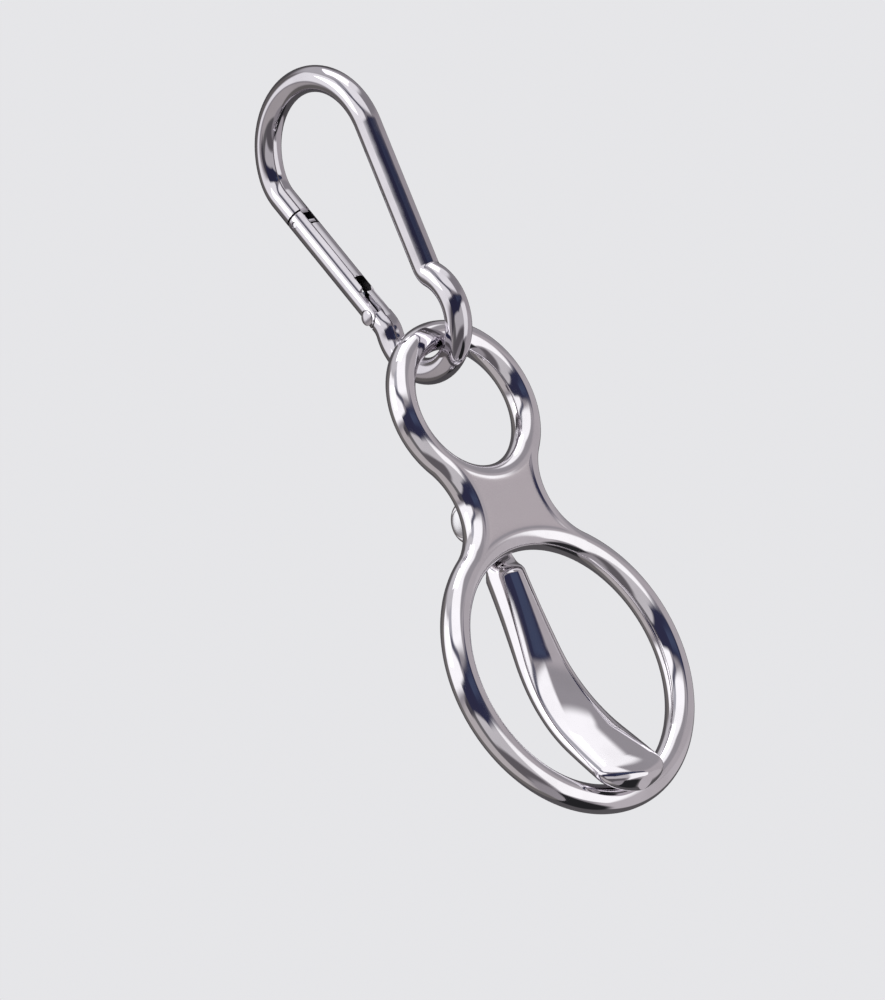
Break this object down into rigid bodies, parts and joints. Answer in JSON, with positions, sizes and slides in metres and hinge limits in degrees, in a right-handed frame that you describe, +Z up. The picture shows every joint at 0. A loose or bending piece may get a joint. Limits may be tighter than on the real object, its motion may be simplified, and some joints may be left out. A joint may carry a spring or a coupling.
{
  "type": "rope friction ring with snap hook",
  "caption": "Polished figure-eight rope friction ring with a tongue hinged behind its waist, hung from a pear-shaped spring snap hook.",
  "frame": {"origin": "inside apex of the snap hook's wide bow, where it bears on the eye that it hangs from", "axes": "+Z up along the object's long axis, X across the ring frame, -Y towards the ring frame's front"},
  "size_m": [0.0732, 0.0471, 0.195],
  "materials": {
    "polished_steel": "mirror-polished stainless steel",
    "turned_steel": "turned, half bright",
    "spring_steel": "drawn wire"
  },
  "bodies": {
    "hook_body": {"snap_body": "polished_steel", "gate_rivet": "polished_steel"},
    "gate": {"snap_gate": "polished_steel", "latch_pin": "turned_steel", "gate_spring": "spring_steel"},
    "plunger": {"gate_plunger": "turned_steel"},
    "ring": {"ring_frame": "polished_steel", "tongue_hinge_pin": "turned_steel"},
    "tongue": {"tongue": "polished_steel"}
  },
  "joints": [
    {"name": "gate_swing", "type": "hinge", "parent": "hook_body", "child": "gate", "pos_m": [0, 0.00329, -0.05562], "axis": [1, 0, 0], "range_deg": [0, 28], "stiffness_Nm_per_rad": 0.05, "springref_deg": -28.65},
    {"name": "plunger_slide", "type": "slide", "parent": "gate", "child": "plunger", "axis": [0, 0.3738, 0.9275], "range_m": [0, 0.00129], "deforming": ["gate_spring"]},
    {"name": "ring_swing", "type": "hinge", "parent": "hook_body", "child": "ring", "pos_m": [0, -0.0124, -0.06736], "axis": [1, 0, 0], "range_deg": [-90, 90]},
    {"name": "tongue_swing", "type": "hinge", "parent": "ring", "child": "tongue", "pos_m": [0, -0.00435, -0.11111], "axis": [-1, 0, 0], "range_deg": [0, 14]}
  ],
  "couplings": [
    {"joint": "gate_swing", "follows": "plunger_slide", "rad_per_m": 375.94}
  ]
}
